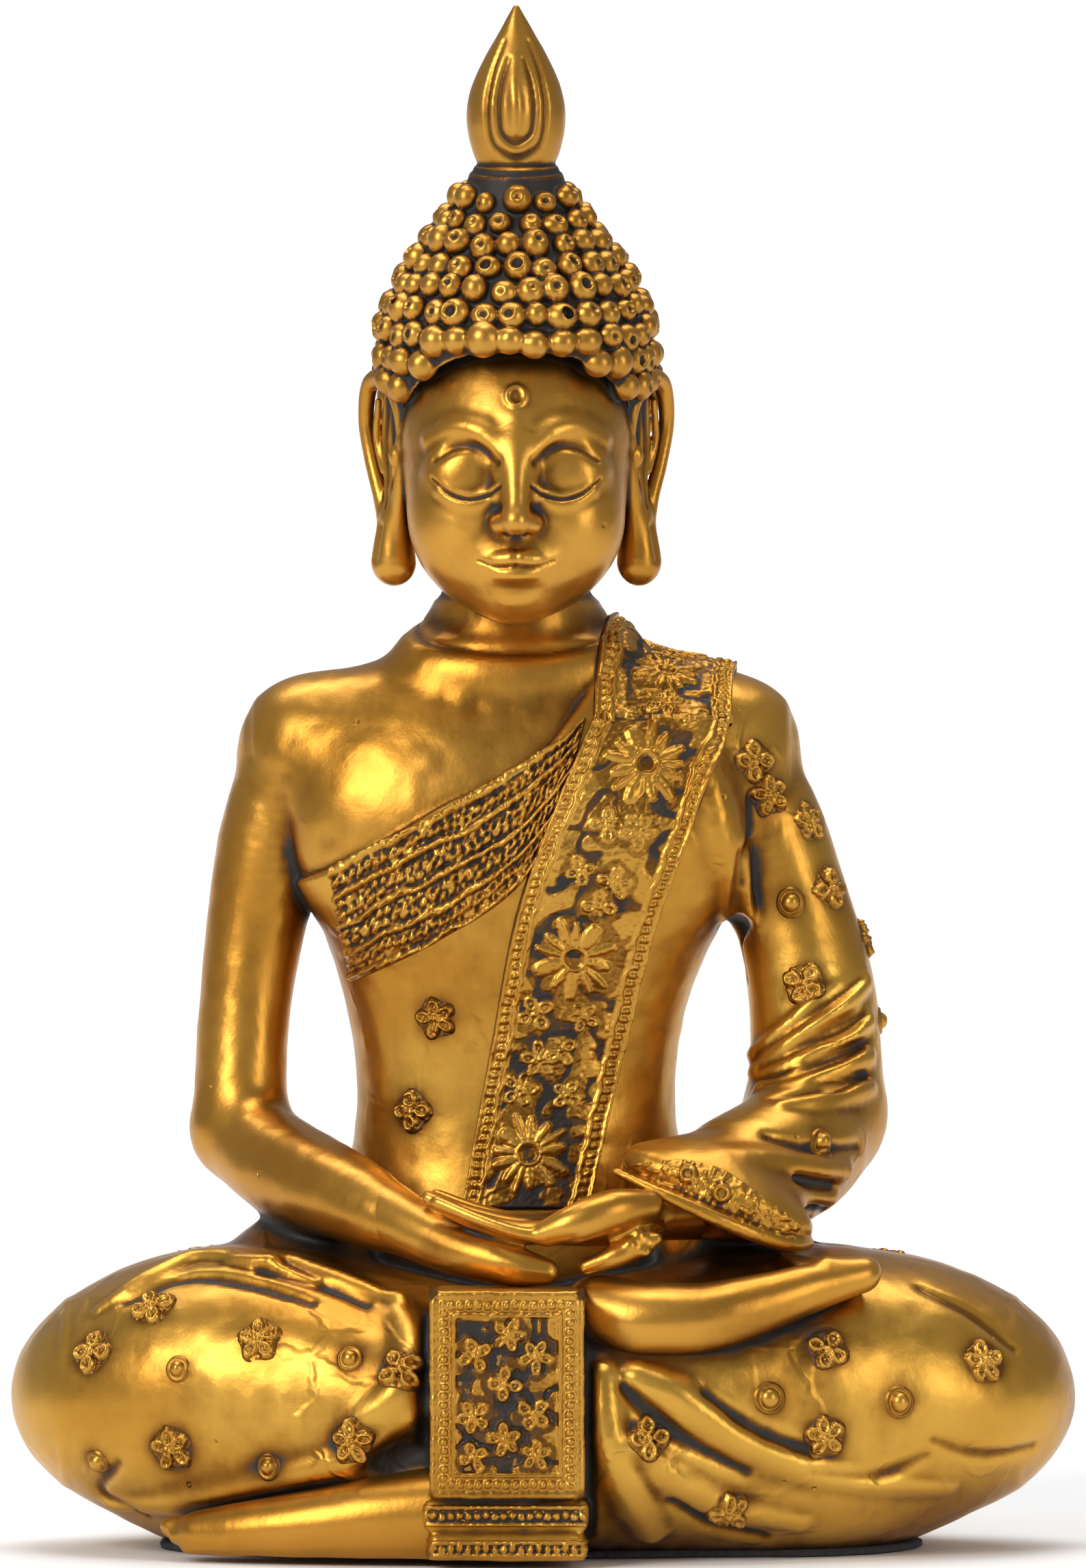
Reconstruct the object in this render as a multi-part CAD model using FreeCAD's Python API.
"""Seated Buddha figure in gilded cast resin, 230 mm tall.

Hollow castings meet at seams and are bonded on pins. Relief ornament is pressed separately and applied.
Frame: +Z up, +X to the viewer's right, the face looks along -Y, origin under the middle of the footprint.
"The figure's right" is on -X. All sizes are in millimetres.
"""
import FreeCAD, Part
import math
import os

V = FreeCAD.Vector

# ---- driving dimensions ------------------------------------------------------------------------
HEIGHT = 230.0          # felt to flame tip
KNEE_SPAN = 158.0       # knee tip to knee tip
DEPTH = 92.0            # front panel to the back of the seat
SPINE_X = -4.0          # the spine stands a little to one side of the footprint's middle
WALL = 5.0              # casting wall
FELT = 1.2              # felt sheet under the base
PLATE = 3.0             # closing plate let into the hollow underside
NECK_Z = 137.0          # seam between the body and head castings
HEAD_TILT = 5.0         # the head bows forward, degrees
HEAD_PIVOT = V(SPINE_X, 14, 140)
ROBE = 1.0              # thickness of the robe wrapped over the skin
SASH = 1.2              # thickness of the embroidered sash over the robe
RELIEF = 0.9            # height of the pressed ornament
PIN_R = 2.0             # bonding pins
PIN_GAP = 0.05          # radial glue gap round a pin
CURL_R = 2.05           # one snail curl of the hair
CURL_PITCH = 4.35
GAP = 0.02              # glue line under tangent ornament
X, Y, Z = V(1, 0, 0), V(0, 1, 0), V(0, 0, 1)

NODES = {}


# ---- construction helpers ----------------------------------------------------------------------
def oval(centre, u, v, a, b, power=2.0, count=16):
    """A closed smooth wire: a superellipse with half axes a and b along u and v."""
    points = []
    for i in range(count):
        t = 2 * math.pi * i / count
        c, s = math.cos(t), math.sin(t)
        du = math.copysign(abs(c) ** (2 / power), c) * a
        dv = math.copysign(abs(s) ** (2 / power), s) * b
        points.append(centre + u * du + v * dv)
    curve = Part.BSplineCurve()
    curve.interpolate(points, PeriodicFlag=True)
    return Part.Wire([curve.toShape()])


def loft(wires):
    return Part.makeLoft(wires, True, False)


def upright(sections, grow=0.0, power=2.2):
    """Lofts horizontal ovals given as (z, centre x, centre y, half width, half depth)."""
    return loft([oval(V(x, y, z), X, Y, a + grow, b + grow, power) for z, x, y, a, b in sections])


def sideways(sections, grow=0.0, power=2.3):
    """Lofts ovals that stand across X, given as (x, centre y, centre z, half depth, half height)."""
    return loft([oval(V(x, y, z), Y, Z, max(a + grow, 0.6), max(b + grow, 0.6), power)
                 for x, y, z, a, b in sections])


def limb(stations, grow=0.0, reference=Z, power=2.0):
    """Lofts ovals square to a path given as (point, half width, half height)."""
    wires = []
    for i, (point, a, b) in enumerate(stations):
        before = stations[max(i - 1, 0)][0]
        after = stations[min(i + 1, len(stations) - 1)][0]
        along = (after - before).normalize()
        side = along.cross(reference).normalize()
        wires.append(oval(point, side, side.cross(along), a + grow, b + grow, power, 12))
    return loft(wires)


def round_end(stations):
    """Adds a domed end in front of a limb's first station."""
    point, a, b = stations[0]
    back = (point - stations[1][0]).normalize()
    return [(point + back * (a * reach), a * share, b * share)
            for reach, share in ((0.98, 0.2), (0.8, 0.6), (0.45, 0.89))] + stations


def ellipsoid(centre, rx, ry, rz):
    matrix = FreeCAD.Matrix()
    matrix.scale(rx, ry, rz)
    shape = Part.makeSphere(1.0).transformGeometry(matrix)
    shape.translate(centre)
    return shape


def pin(a, b, radius):
    return Part.makeCylinder(radius, (b - a).Length, a, b - a)


def petal_plate(reach, petals, thick, hole=0.0, depth=0.3):
    """A flat flower on the XY plane: its outline swells into petals, and a hole may pierce its eye."""
    points = []
    for i in range(petals * 4):
        t = 2 * math.pi * i / (petals * 4)
        r = reach * (1 - depth * (0.5 - 0.5 * math.cos(petals * t)))
        points.append(V(r * math.cos(t), r * math.sin(t), 0))
    curve = Part.BSplineCurve()
    curve.interpolate(points, PeriodicFlag=True)
    plate = Part.Face(Part.Wire([curve.toShape()])).extrude(Z * thick)
    return plate.cut(Part.makeCylinder(hole, thick * 3, V(0, 0, -thick))) if hole else plate


def blossom(reach=3.0):
    """Four petals round a domed eye."""
    eye = Part.makeSphere(reach * 0.28, V(0, 0, 0), Z, 0, 90, 360)
    eye.translate(Z * RELIEF * 0.7)
    return petal_plate(reach, 4, RELIEF * 0.7, depth=0.42).fuse(eye)


def stud(radius=2.2):
    """A round boss with a rim."""
    rim = Part.makeCylinder(radius, RELIEF * 0.45)
    dome = Part.makeSphere(radius * 0.75, V(0, 0, 0), Z, 0, 90, 360)
    dome.translate(Z * RELIEF * 0.3)
    return rim.fuse(dome)


def curl(radius=CURL_R):
    """A snail curl: a low dome with a dimple at its tip."""
    ball = Part.makeSphere(radius, V(0, 0, radius * 0.35))
    dome = ball.common(Part.makeBox(8, 8, 8, V(-4, -4, 0)))
    return dome.cut(Part.makeSphere(radius * 0.3, V(0, 0, radius * 1.35)))


def placed(shape, point, normal, turn=0.0):
    """A copy of a shape built on the XY plane, set on a surface point along its normal."""
    copy = shape.copy()
    spin = FreeCAD.Rotation(Z, turn)
    copy.Placement = FreeCAD.Placement(point + normal * GAP, FreeCAD.Rotation(Z, normal).multiply(spin))
    return copy


def surface_frame(shape, start, along):
    """The first point where a line from start along a direction meets a shape, and the normal there."""
    hits = []
    for face in shape.Faces:
        if isinstance(face.Surface, Part.BSplineSurface):
            for point in face.Surface.intersect(Part.Line(start, start + along))[0]:
                hits.append((along.dot(V(point.X, point.Y, point.Z) - start), face.Surface))
    distance, surface = min((hit for hit in hits if hit[0] > 0), key=lambda hit: hit[0])
    here = start + along * distance
    normal = surface.normal(*surface.parameter(here))
    return here, normal if normal.dot(along) < 0 else normal * -1


def applied(pattern, shape, places):
    """Copies of one ornament on a shape: each place is (start point, direction, turn)."""
    solids = []
    for start, along, turn in places:
        point, normal = surface_frame(shape, start, along)
        solids.append(placed(pattern, point, normal, turn))
    return solids


def from_front(places):
    """Ornament places seen from the front, given as (x, z, turn)."""
    return [(V(x, -90, z), Y, turn) for x, z, turn in places]


def prism(points, front=-70.0, back=15.0):
    """A prism along Y over an outline of (x, z) corners."""
    outline = [V(x, front, z) for x, z in points]
    return Part.Face(Part.makePolygon(outline + outline[:1])).extrude(Y * (back - front))


def ribbon(left, right, a, b):
    """Corners of a strip of a band: left and right edges run side by side, a and b are shares across."""
    near = [(p[0] + (q[0] - p[0]) * a, p[1] + (q[1] - p[1]) * a) for p, q in zip(left, right)]
    far = [(p[0] + (q[0] - p[0]) * b, p[1] + (q[1] - p[1]) * b) for p, q in zip(left, right)]
    return near + far[::-1]


def keep(name, *shapes):
    """Registers a node: every solid of the shapes, as one compound."""
    solids = [s for shape in shapes for s in shape.Solids]
    NODES[name] = solids[0] if len(solids) == 1 else Part.makeCompound(solids)
    return NODES[name]


# ---- the figure's stations ---------------------------------------------------------------------
SEAT = 22.0             # height of the widest part of the seat
TORSO = [               # z, centre x, centre y, half width, half depth
    (FELT, SPINE_X, 17, 34, 25.5), (SEAT, SPINE_X, 17, 36, 26.3), (38, SPINE_X, 16.5, 31, 22.5),
    (52, SPINE_X, 16.5, 25, 18.5), (66, SPINE_X, 16, 22.5, 16.5), (80, SPINE_X, 15.5, 24, 17),
    (92, -3.5, 15, 28, 18.5), (104, -3.5, 15, 31.5, 20), (114, -3.5, 15.5, 33, 19.5),
    (120, -3.7, 16, 33.5, 18), (125, SPINE_X, 16.3, 32, 16.3), (129, SPINE_X, 16.5, 27, 14.8),
    (132.5, SPINE_X, 16.5, 19.5, 13.4), (135.2, SPINE_X, 16.2, 13.8, 12.4), (NECK_Z, SPINE_X, 16, 12.3, 11.8)]
LEG = [                 # distance from the spine as a share of the leg, centre y, centre z, halves
    (0.0, -12, 19, 29, 19), (0.21, -9, 20.5, 31, 21), (0.45, -4, 22.5, 31, 23),
    (0.64, -2, 23, 28, 22.5), (0.8, -1.5, 23.5, 22.5, 18.5), (0.92, -2, 24, 15, 12.5),
    (0.985, -3, 24.3, 6.5, 5.5), (1.0, -3, 24.3, 1.5, 1.5)]
RIGHT_ARM = [(V(-27, 16.5, 121.5), 6.5, 6), (V(-34.5, 16.5, 119.2), 9.6, 9.3), (V(-39, 16, 110), 9, 8.6),
             (V(-42.9, 15.5, 92), 7.2, 7.4), (V(-45, 14, 76), 6.6, 6.9), (V(-45.2, 12, 62), 7, 7.2)]
RIGHT_FOREARM = [(V(-45.2, 12, 60), 7, 7.2), (V(-38, 1, 56), 7.6, 7.6), (V(-29, -12, 53), 6.8, 6.6),
                 (V(-20, -23, 50.5), 5.2, 4.9)]
RIGHT_HAND = [(V(-20, -23, 50.5), 5.2, 4.9), (V(-12, -29, 48.6), 6.4, 4.2), (V(-4, -32, 46.8), 6.2, 3.2),
              (V(2.5, -33, 45.4), 3.2, 1.8)]
LEFT_ARM = [(V(18, 16.5, 121.5), 7, 6.5), (V(26.5, 16.5, 119.4), 10.4, 9.8), (V(32, 16, 108), 9.8, 9.2),
            (V(36.6, 15.5, 96), 8.9, 9), (V(39.5, 14, 80), 10.4, 9.8), (V(40.4, 11, 64), 11, 10.4)]
LEFT_FOREARM = [(V(40.4, 11, 61), 10.8, 10.6), (V(35.5, 0, 57), 10.6, 10.4), (V(27, -11, 54), 9.6, 9.2),
                (V(19, -19, 52), 8.4, 7.4)]
LEFT_HAND = [(V(19, -20, 52), 4.6, 4.2), (V(10, -27, 52.5), 6.2, 3.6), (V(0, -29, 51.6), 6.2, 2.6),
             (V(-15, -27, 54), 3.4, 1.5)]
HAIR = [                # z, centre x, centre y, half width, half depth
    (152, SPINE_X, 13, 14.5, 15), (160, SPINE_X, 12.5, 18, 19), (170, SPINE_X, 12, 19.4, 21.2),
    (176, SPINE_X, 12, 19.9, 21.8), (181, SPINE_X, 12, 20, 21.6), (185, SPINE_X, 12, 19.2, 20.6),
    (189, SPINE_X, 12, 17.2, 18.4), (193, SPINE_X, 12, 14.6, 15.3), (198, SPINE_X, 12, 10.9, 11.3),
    (202, SPINE_X, 12, 8.3, 8.5), (205, SPINE_X, 12, 7.2, 7.2)]
FLAME = [(206.2, 5.2), (208, 6.3), (211, 7.1), (214.6, 7.4), (218.5, 6.5), (222.5, 4.7), (226.5, 2.6),
         (229.6, 0.9), (230.6, 0.35)]
SASH_LEFT = [(12.3, 134), (5.4, 119.6), (-3.3, 97.6), (-7.9, 74.5), (-11.8, 55)]
SASH_RIGHT = [(29, 129), (23, 108), (15.8, 90), (11.2, 71), (7.6, 55)]
BAND_TOP = [(-31, 101.5), (-15.4, 110.4), (0.8, 119.6), (9, 131)]
BAND_LOW = [(-28.5, 84), (-15.4, 90.7), (-4, 98.5), (5.5, 118)]
PANEL_LOW, PANEL_HIGH = 10.5, 41.0
PANEL_X = (-16.6, 6.0)


def tilted(shape):
    """Bows a piece of the upright head forward about the neck."""
    copy = shape.copy()
    copy.rotate(HEAD_PIVOT, X, HEAD_TILT)
    return copy


def leg_sections(side, grow=0.0):
    """The folded leg's stations from the spine to the knee: side is -1 for the figure's right."""
    reach = abs(side * KNEE_SPAN / 2 - SPINE_X)
    rows = [(SPINE_X + side * reach * s, y, z, a + grow, b + grow) for s, y, z, a, b in LEG]
    return rows if side > 0 else rows[::-1]


def above(shape, level):
    return shape.common(Part.makeBox(400, 400, 400, V(-200, -200, level)))


# ---- castings ----------------------------------------------------------------------------------
def body_castings():
    skin = upright(TORSO)
    hollow = upright([(z, x, y, a - WALL, b - WALL) for z, x, y, a, b in TORSO[:10]])
    torso = keep("torso", skin.cut(hollow).cut(pin(V(SPINE_X, 16, 100), V(SPINE_X, 16, 150), PIN_R + PIN_GAP)))
    mid = Part.makeBox(200, 200, 200, V(SPINE_X - 200, -100, FELT))
    cavities = [hollow]
    solids = {}
    for name, side in (("right_leg", -1), ("left_leg", 1)):
        outer = above(sideways(leg_sections(side)), FELT)
        inner = sideways([(x - side * WALL, y, z - 2, a - WALL, b - WALL)
                          for x, y, z, a, b in leg_sections(side)[(1 if side < 0 else 0):][:7]])
        outer = outer.cut(skin)
        half = mid if side < 0 else mid.translated(V(200, 0, 0))
        outer = outer.common(half)
        inner = above(inner, FELT).common(half)
        solids[name] = outer
        keep(name, outer.cut(inner))
        cavities.append(inner.cut(skin))
    footprint = skin.fuse([solids["right_leg"], solids["left_leg"]])
    slab = Part.makeBox(400, 400, FELT, V(-200, -200, FELT))
    felt = footprint.common(slab)
    felt.translate(V(0, 0, -FELT))
    keep("felt_sheet", felt.removeSplitter())
    lid_slab = Part.makeBox(400, 400, PLATE, V(-200, -200, FELT))
    for name, cavity in zip(("seat_plug", "right_leg_plug", "left_leg_plug"), cavities):
        keep(name, cavity.common(lid_slab))
    return skin, solids


def arm_castings(skin, legs):
    shapes = {}
    neighbours = {
        "right_upper_arm": [skin], "right_forearm": [skin, "right_upper_arm", "right_leg"],
        "right_hand": ["right_forearm", "right_leg", "left_leg"],
        "left_upper_sleeve": [skin], "left_forearm_sleeve": [skin, "left_upper_sleeve", "left_leg"],
        "left_hand": ["left_forearm_sleeve", "right_hand", "left_leg"]}
    rounds = {"right_upper_arm": RIGHT_ARM, "right_forearm": RIGHT_FOREARM, "right_hand": RIGHT_HAND,
              "left_upper_sleeve": LEFT_ARM, "left_forearm_sleeve": LEFT_FOREARM, "left_hand": LEFT_HAND}
    for name, stations in rounds.items():
        reference = Y if "upper" in name else Z
        if "forearm" in name:
            stations = round_end(stations)
        shape = limb(stations, reference=reference)
        near = [{**legs, **shapes}[n] if isinstance(n, str) else n for n in neighbours[name]]
        shape = shape.cut(near)
        shapes[name] = max(shape.Solids, key=lambda s: s.Volume)
    for name, side in (("right_upper_arm", -1), ("left_upper_sleeve", 1)):
        a, b = V(SPINE_X + side * 24, 16, 115), V(SPINE_X + side * 38, 16, 113)
        hole = pin(a, b, PIN_R + PIN_GAP)
        shapes[name] = shapes[name].cut(hole)
        NODES["torso"] = NODES["torso"].cut(hole)
        keep(name.split("_")[0] + "_shoulder_pin", pin(a, b, PIN_R))
    for name, shape in shapes.items():
        keep(name, shape)
    return shapes


def foot_castings(legs):
    right_foot = limb([(V(5.5, -30, 36), 5, 4.6), (V(12, -34, 36), 7, 6.2), (V(20, -35.5, 35.4), 6.8, 5.7),
                       (V(30, -34.5, 36.2), 6, 4.8), (V(41, -30, 39.2), 5, 3.5), (V(48.5, -25, 41.4), 3, 1.8)])
    keep("right_foot", right_foot.cut(list(legs.values())))
    left_foot = limb([(V(-55, -24, 5.4), 3, 2.2), (V(-48, -28, 6.2), 5, 4.2), (V(-38, -33, 6.8), 6, 5.2),
                      (V(-27, -37, 8), 6, 6.2), (V(-17.6, -39, 9), 5, 6.6)])
    keep("left_foot", above(left_foot, FELT).cut(list(legs.values())))


def head_castings():
    neck = upright([(NECK_Z, SPINE_X, 16, 12.6, 12), (142, SPINE_X, 15, 11.4, 11.2), (150, SPINE_X, 13, 11, 11),
                    (156, SPINE_X, 12, 10, 10)], power=2.0)
    skull = ellipsoid(V(SPINE_X, 12, 169.5), 18.2, 20, 18.5)
    face = ellipsoid(V(SPINE_X, 4, 160), 16.3, 16.5, 19)
    jaw = ellipsoid(V(SPINE_X, 1.5, 149.5), 11.5, 13, 9.8)
    nose = loft([oval(V(SPINE_X, y, z), X, Y, a, b, count=12)
                 for z, y, a, b in ((154.2, -12.2, 2.2, 2.6), (156.5, -13, 3, 3.4), (161, -12.2, 1.6, 2.6),
                                    (167, -10.8, 1.3, 2))])
    upper_lip = ellipsoid(V(SPINE_X, -12, 151.4), 5, 2, 1)
    lower_lip = ellipsoid(V(SPINE_X, -11.6, 149.3), 4.2, 2, 1.2)
    lids = [ellipsoid(V(SPINE_X + s * 7, -8.2, 163.2), 4, 3.2, 2.4) for s in (-1, 1)]
    head = skull.fuse([face, jaw, nose, upper_lip, lower_lip, *lids])
    head = tilted(head).fuse(neck)
    cap = upright(HAIR)
    window = prism([(SPINE_X + x, z) for x, z in
                    ((-17, 140), (-17, 172), (-14, 178.5), (-9, 181), (9, 181), (14, 178.5), (17, 172), (17, 140))],
                   back=2.0)
    cap = tilted(cap.cut(window))
    bore = pin(V(SPINE_X, 16, 120), V(SPINE_X, 16, 150), PIN_R + PIN_GAP)
    core = tilted(ellipsoid(V(SPINE_X, 11, 166), 12.5, 14, 15))
    head = head.cut(core).cut(bore)
    keep("head", head)
    keep("neck_pin", pin(V(SPINE_X, 16, 122), V(SPINE_X, 16, 149), PIN_R))
    finial_hole = tilted(pin(V(SPINE_X, 12, 190), V(SPINE_X, 12, 216), 1.5 + PIN_GAP))
    keep("hair_cap", max(cap.cut([head, finial_hole]).Solids, key=lambda s: s.Volume))
    keep("finial_pin", tilted(pin(V(SPINE_X, 12, 191), V(SPINE_X, 12, 215), 1.5)))
    collar = Part.makeCylinder(6.4, 1.1, V(SPINE_X, 12, 205.05), Z)
    keep("finial_collar", tilted(collar).cut(finial_hole))
    flame = upright([(z, SPINE_X, 12, r, r * 0.86) for z, r in FLAME], power=2.0)
    keep("flame_finial", tilted(flame).cut(finial_hole))
    tongue_outer = flame_tongue(4.0, 208.5, 221.5)
    tongue_inner = flame_tongue(2.6, 210.3, 218.5)
    grown = upright([(z, SPINE_X, 12, r + 0.5, (r + 0.5) * 0.86) for z, r in FLAME], power=2.0)
    tongues = grown.common(tongue_outer.cut(tongue_inner)).cut(flame)
    keep("flame_tongue", tilted(tongues))
    keep("urna", *applied(placed(Part.makeSphere(1.3, V(0, 0, 0), Z, 0, 90, 360), V(0, 0, 0), Z), NODES["head"],
                          from_front([(SPINE_X, 171.0, 0)])))
    return cap


def flame_tongue(half, low, high):
    """A pointed drop, seen from the front, as a prism."""
    mid = low + (high - low) * 0.35
    corners = [(SPINE_X, low), (SPINE_X + half * 0.8, low + half * 0.35), (SPINE_X + half, mid),
               (SPINE_X + half * 0.5, mid + (high - mid) * 0.55), (SPINE_X, high),
               (SPINE_X - half * 0.5, mid + (high - mid) * 0.55), (SPINE_X - half, mid),
               (SPINE_X - half * 0.8, low + half * 0.35)]
    return prism(corners, back=12.0)


def ears():
    """Long pierced-style ears: a flat blade from the temple down to a heavy lobe."""
    for name, side in (("right_ear", -1), ("left_ear", 1)):
        across = V(side * 0.86, 0.5, 0)
        through = V(-side * 0.5, 0.86, 0)
        rows = ((176, 20.4, 1.2, 1.0), (174, 20.6, 2.6, 1.6), (169, 20.4, 3.6, 1.7), (162, 19.4, 3.3, 1.7),
                (155, 18.4, 3.1, 1.7), (149, 18.6, 3.8, 1.8), (144.5, 18.8, 4.2, 1.8), (142.2, 18.8, 2.6, 1.2))
        blade = loft([oval(V(SPINE_X + side * x, 8.5, z), across, through, a, b, 2.2, 12) for z, x, a, b in rows])
        keep(name, tilted(blade).cut([NODES["head"], NODES["hair_cap"]]))


def curls():
    """Rows of curls round the hair: hairline row, scalp rows and top-knot rows."""
    surface = upright(HAIR).Faces[0].Surface
    one = curl()
    groups = {"hairline_curls": [], "scalp_curls": [], "topknot_curls": []}
    level = 155.0
    row = 0
    while level < 204:
        v = height_parameter(surface, level)
        width = (surface.value(0.0, v) - surface.value(0.5, v)).Length / 2
        depth = (surface.value(0.25, v) - surface.value(0.75, v)).Length / 2
        count = int(math.pi * (width + depth) / CURL_PITCH)
        for i in range(count):
            u = (i + 0.5 * (row % 2)) / count
            point, normal = surface.value(u, v), surface.normal(u, v)
            if normal.dot(point - V(SPINE_X, 12, point.z)) < 0:
                normal = normal * -1
            line = hairline_height(point.x - SPINE_X) if point.y < 7.5 else 0.0
            if level < line:
                continue
            kind = "topknot_curls" if level > 190 else "scalp_curls"
            if level < line + CURL_PITCH * 0.95:
                kind = "hairline_curls"
            groups[kind].append(tilted(placed(one, point, normal)))
        ahead = surface.value(0.0, v + 0.02) - surface.value(0.0, v)
        level += CURL_PITCH * 0.87 * ahead.z / ahead.Length
        row += 1
    for name, solids in groups.items():
        keep(name, *solids)


def height_parameter(surface, level):
    """The parameter along an upright loft at which it reaches a height."""
    low, high = 0.0, 1.0
    for _ in range(30):
        middle = (low + high) / 2
        if surface.value(0.0, middle).z < level:
            low = middle
        else:
            high = middle
    return low


def hairline_height(offset):
    """Height of the lowest curls over the brow at a distance from the middle of the face."""
    return 183.2 - 2.2 * (abs(offset) / 10) ** 2 - 2.6 * (abs(offset) / 16) ** 6


# ---- robe, sash and ornament -------------------------------------------------------------------
def skin_layer(inner, outer, outline):
    """A layer of cloth over the torso, from one height to another above the skin, within an outline."""
    layer = upright(TORSO, outer).common(outline)
    return layer.cut(upright(TORSO, inner)) if inner else layer.cut(upright(TORSO))


def robe_and_sash(arms, legs):
    blockers = [arms["right_upper_arm"], arms["left_upper_sleeve"], legs["right_leg"], legs["left_leg"]]
    cloth = [(-44, 44), (-44, 101.5)] + BAND_TOP + [(12, 134), (40, 132), (40, 44)]
    robe = skin_layer(0, ROBE, prism(cloth, back=60.0))
    keep("robe_wrap", max(robe.cut(blockers).Solids, key=lambda s: s.Volume))
    sash_outline = prism(SASH_LEFT + SASH_RIGHT[::-1])
    sash = skin_layer(ROBE, ROBE + SASH, sash_outline).cut(blockers)
    keep("shoulder_sash", max(sash.Solids, key=lambda s: s.Volume))
    band = skin_layer(ROBE, ROBE + SASH, prism(BAND_TOP + BAND_LOW[::-1]).cut(sash_outline)).cut(blockers)
    keep("chest_band", max(band.Solids, key=lambda s: s.Volume))
    low, high = ROBE + SASH, ROBE + SASH + RELIEF
    trim = prism([(-36, 54), (-36, 103), (9, 135), (30, 135), (30, 54)])
    layer = upright(TORSO, high).common(trim).cut([upright(TORSO, low), *blockers])

    def relief(name, shapes):
        tool = shapes[0].fuse(shapes[1:]) if len(shapes) > 1 else shapes[0]
        keep(name, layer.common(tool))

    relief("sash_inner_border", [prism(ribbon(SASH_LEFT, SASH_RIGHT, 0.0, 0.17))])
    relief("sash_outer_border", [prism(ribbon(SASH_LEFT, SASH_RIGHT, 0.83, 1.0))])
    strips = [prism(ribbon(BAND_TOP, BAND_LOW, a, b)).cut(sash_outline)
              for a, b in ((0.02, 0.18), (0.3, 0.52), (0.66, 0.96))]
    relief("chest_band_strips", strips)
    flowers = []
    for x, z in ((16.6, 117.4), (4.4, 88), (-2.6, 60.2)):
        flower = petal_plate(6.0, 14, 60, hole=1.5, depth=0.32)
        flower.rotate(V(0, 0, 0), X, 90)
        flower.translate(V(x, 10, z))
        flowers.append(flower)
    relief("sash_rosettes", flowers)
    seats = ((10.6, 105.8, 10), (8.6, 98.8, 30), (-0.4, 78, 0), (6.2, 77.6, 20), (-2.6, 70.6, 15), (3.4, 69.4, 40),
             (18.4, 126.6, 0))
    keep("sash_blossoms", *applied(blossom(2.7), upright(TORSO, low), from_front(seats)))


def front_panel(legs):
    left, right = PANEL_X
    front = -DEPTH / 2
    width = right - left
    back_cut = list(legs.values()) + [NODES["right_foot"], NODES["right_hand"], NODES["left_foot"]]
    cloth = Part.makeBox(width, 12, PANEL_HIGH - PANEL_LOW, V(left, front + RELIEF, PANEL_LOW)).cut(back_cut)
    keep("front_panel", max(cloth.Solids, key=lambda s: s.Volume))
    outer = Part.makeBox(width, RELIEF, PANEL_HIGH - PANEL_LOW, V(left, front, PANEL_LOW))
    inner = Part.makeBox(width - 7.2, RELIEF * 3, PANEL_HIGH - PANEL_LOW - 7.2,
                         V(left + 3.6, front - RELIEF, PANEL_LOW + 3.6))
    keep("panel_border", outer.cut(inner))
    centre = (left + right) / 2
    seats = ((centre, 33.2), (centre - 3.6, 27.6), (centre + 3.6, 27.2), (centre - 3.8, 18.6), (centre + 3.8, 18.8),
             (centre, 23))
    keep("panel_blossoms", *[placed(petal_plate(2.5, 4, RELIEF * 0.9, depth=0.4), V(x, front + RELIEF, z), Y * -1)
                             for x, z in seats])
    pleats = []
    for low, high, lead in ((FELT, 5.4, 0.9), (5.7, PANEL_LOW - 0.2, 1.4)):
        slab = Part.makeBox(width + 1.6, 12, high - low, V(left - 0.8, front + lead, low))
        slab = slab.makeFillet(1.2, [e for e in slab.Edges if abs(e.CenterOfMass.y - front - lead) < 0.01])
        slab = slab.cut(back_cut)
        pleats.append(max(slab.Solids, key=lambda s: s.Volume))
    keep("panel_pleats", *pleats)


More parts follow.
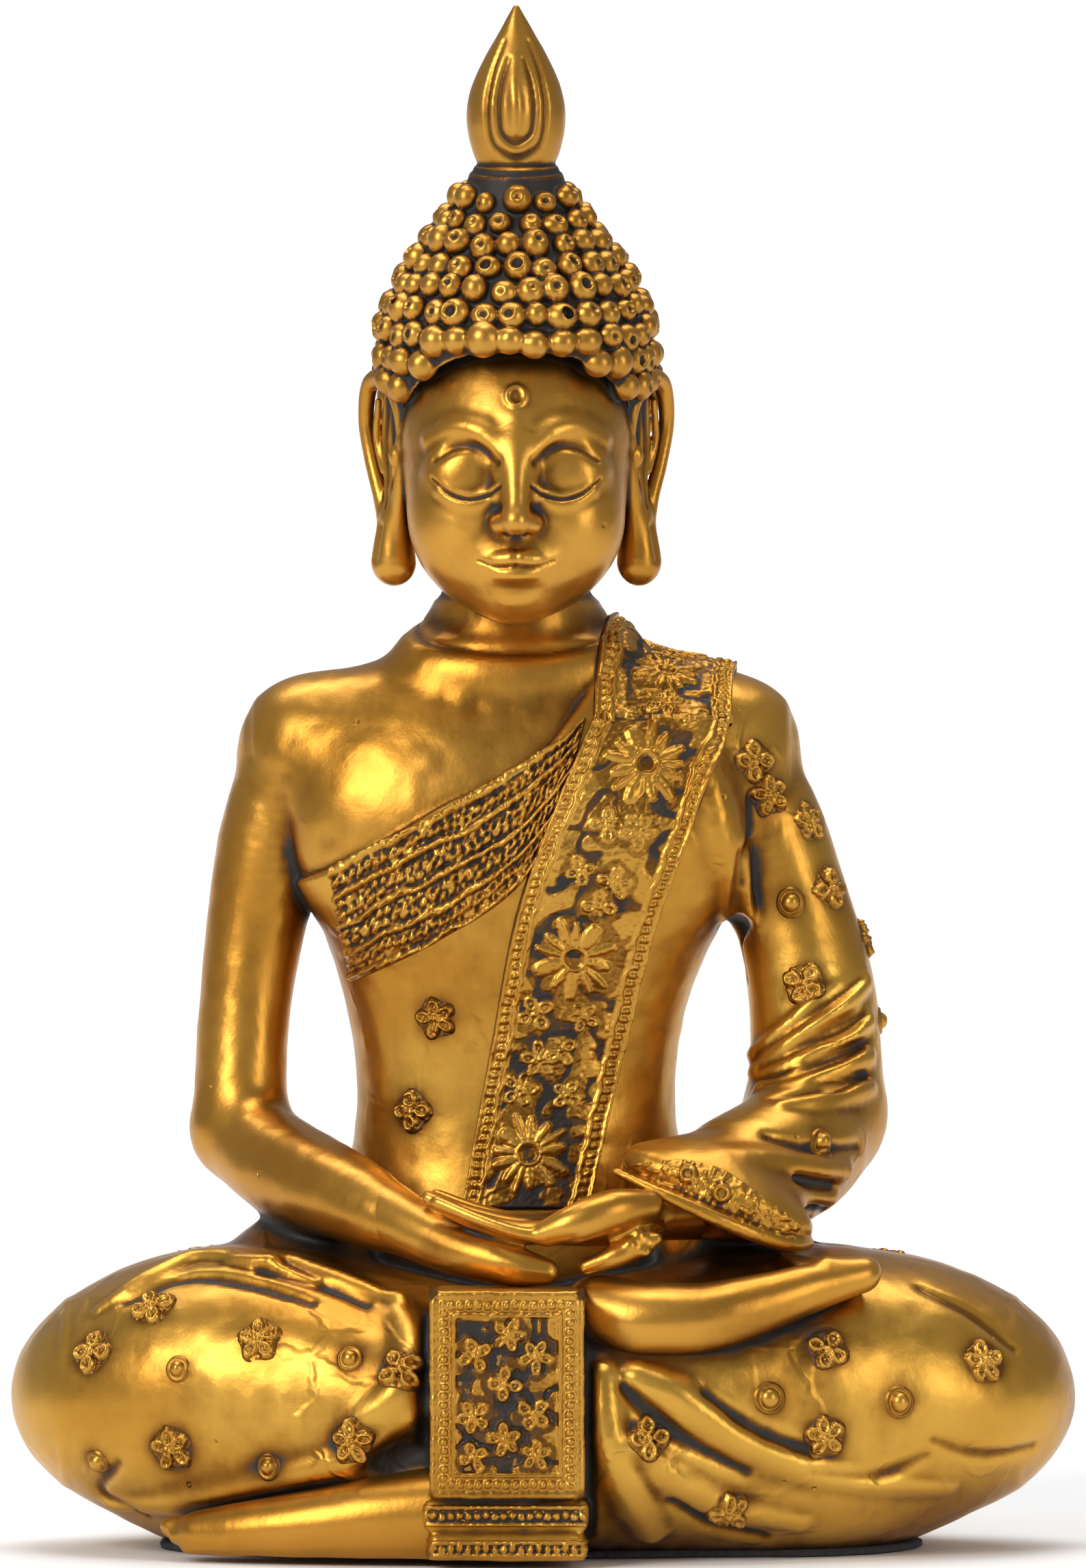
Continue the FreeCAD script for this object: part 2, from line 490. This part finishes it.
def scattered_ornament(arms, legs):
    robe = upright(TORSO, ROBE)
    keep("robe_blossoms", *applied(blossom(2.9), robe, from_front([(-16, 79, 20), (-19.5, 65, -10)])))
    sleeve = arms["left_upper_sleeve"]
    forearm = arms["left_forearm_sleeve"]
    keep("sleeve_blossoms", *applied(blossom(3.0), sleeve,
                                     from_front([(31, 117, 10), (43, 98, 30), (39, 84, 0), (33.5, 112, 40)])),
         *applied(blossom(2.8), sleeve, [(V(90, 10, 108), X * -1, 0), (V(90, 16, 90), X * -1, 30),
                                         (V(36, 90, 104), Y * -1, 0), (V(38, 90, 86), Y * -1, 20)]))
    keep("sleeve_studs", *applied(stud(2.2), sleeve, from_front([(37, 96, 0)])),
         *applied(stud(2.2), forearm, from_front([(41, 60.5, 0)])),
         *applied(stud(2.0), sleeve, [(V(90, 14, 78), X * -1, 0), (V(34, 90, 94), Y * -1, 0)]))
    right, left = legs["right_leg"], legs["left_leg"]
    keep("right_leg_blossoms", *applied(blossom(3.1), right, from_front(
        [(-67, 30.4, 15), (-42, 33, 0), (-55, 16.5, 35), (-28, 18.5, 10), (-21, 28.6, 20), (-58, 37.5, 30)])),
         *applied(blossom(3.0), right, [(V(-60, 90, 26), Y * -1, 0), (V(-40, 90, 30), Y * -1, 25),
                                        (V(-52, 10, 90), Z * -1, 0)]))
    keep("right_leg_studs", *applied(stud(1.9), right, from_front(
        [(-54, 28.5, 0), (-28.5, 30.5, 0), (-40.5, 14.5, 0), (-66, 14.2, 0)])))
    keep("left_leg_blossoms", *applied(blossom(3.0), left, from_front(
        [(42, 31.6, 0), (41.6, 18.6, 30), (65, 29, 10), (15.5, 19, 0), (27, 8.4, 15)])),
         *applied(blossom(3.0), left, [(V(62, 90, 26), Y * -1, 0), (V(40, 90, 30), Y * -1, 25),
                                       (V(52, 10, 90), Z * -1, 0)]))
    keep("left_leg_studs", *applied(stud(2.3), left, from_front([(33.4, 24.6, 0), (52.6, 23.6, 0)])))


def cloth_folds(legs, arms):
    """Raised folds of the robe over the lap and a hanging sleeve mouth."""
    over_right = limb([(V(-60, -16, 43), 1.5, 1.2), (V(-48, -22, 46), 2.2, 1.6), (V(-34, -26, 44.5), 2.2, 1.6),
                       (V(-22, -30, 41), 1.6, 1.2)])
    keep("right_lap_fold", over_right.cut([legs["right_leg"], arms["right_forearm"]]))
    folds = []
    for stations in ([(V(8, -41, 22), 1.4, 1.2), (V(18, -42, 18.5), 2, 1.8), (V(30, -40, 14), 1.8, 1.6),
                      (V(40, -37, 11), 1.2, 1)],
                     [(V(9, -41, 28), 1.2, 1.1), (V(20, -43, 24.8), 1.9, 1.6), (V(34, -40, 19), 1.8, 1.5),
                      (V(46, -35, 15.5), 1.2, 1)]):
        folds += limb(stations).cut(legs["left_leg"]).Solids[:1]
    keep("left_leg_folds", *folds)
    mouth = limb([(V(12, -24, 56), 2.2, 1.3), (V(20, -27, 54.4), 3.2, 1.7), (V(30, -26, 51), 3.6, 1.8),
                  (V(40, -18, 48), 3.2, 1.6)])
    keep("sleeve_mouth", mouth.cut([arms["left_forearm_sleeve"], arms["left_hand"], legs["left_leg"]]))


def main():
    skin, legs = body_castings()
    arms = arm_castings(skin, legs)
    foot_castings(legs)
    head_castings()
    ears()
    curls()
    robe_and_sash(arms, legs)
    front_panel(legs)
    scattered_ornament(arms, legs)
    cloth_folds(legs, arms)
    os.makedirs("parts", exist_ok=True)
    box = FreeCAD.BoundBox()
    for shape in NODES.values():
        box.add(shape.optimalBoundingBox(False))
    shift = V(-(box.XMin + box.XMax) / 2, -(box.YMin + box.YMax) / 2, -box.ZMin)
    print("shift", shift, "size", box.XLength, box.YLength, box.ZLength)
    for name, shape in NODES.items():
        shape.translate(shift)
        shape.exportStep("parts/" + name + ".step")
        print(name, len(shape.Solids), round(shape.Volume / 1000, 2), shape.isValid())


main()
